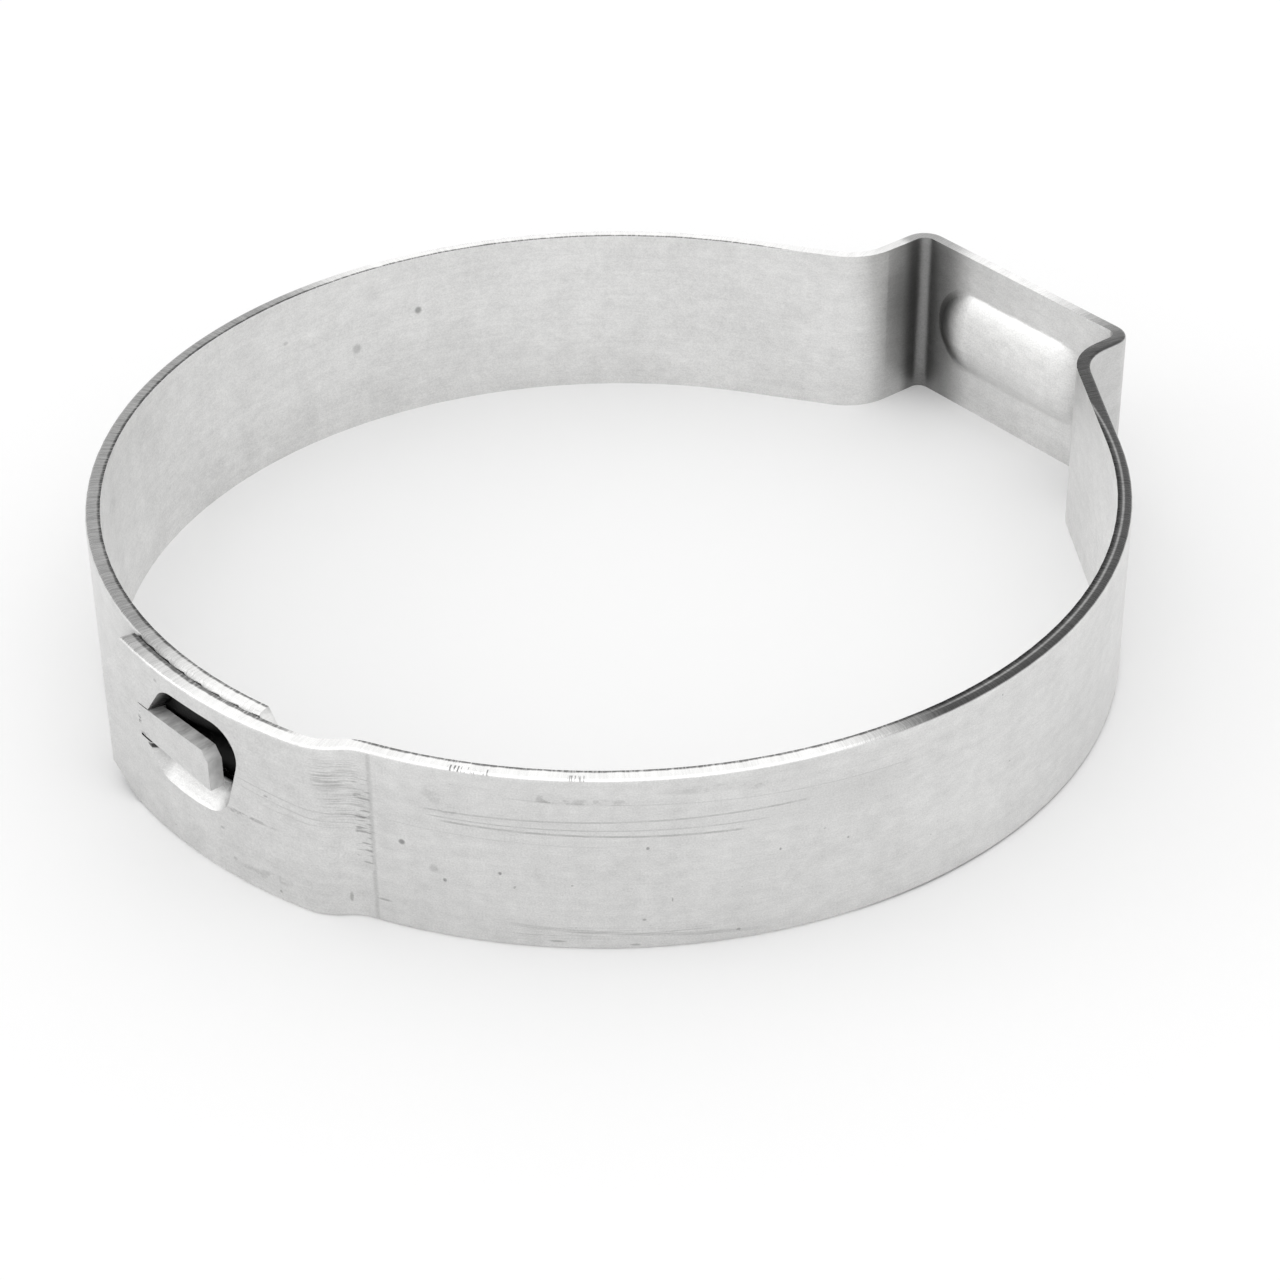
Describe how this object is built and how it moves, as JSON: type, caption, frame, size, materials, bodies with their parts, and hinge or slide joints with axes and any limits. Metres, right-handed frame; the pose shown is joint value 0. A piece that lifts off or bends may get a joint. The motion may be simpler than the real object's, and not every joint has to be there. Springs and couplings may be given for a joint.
{
  "type": "ear hose clamp",
  "caption": "Thin stainless strip rolled into a hose clamp ring with a dimpled crimp ear, lapped ends and a lanced tab-and-pocket interlock.",
  "frame": {"origin": "middle of the bore, at the strip's mid width", "axes": "+Z along the hose axis; +X from the bore axis towards the ear's crown; the lapped ends are on the -X side"},
  "size_m": [0.042, 0.0382, 0.007],
  "materials": {
    "steel": "satin cold-rolled stainless strip with sheared edges"
  },
  "bodies": {
    "root": {"ear_clamp": "steel"}
  },
  "joints": []
}
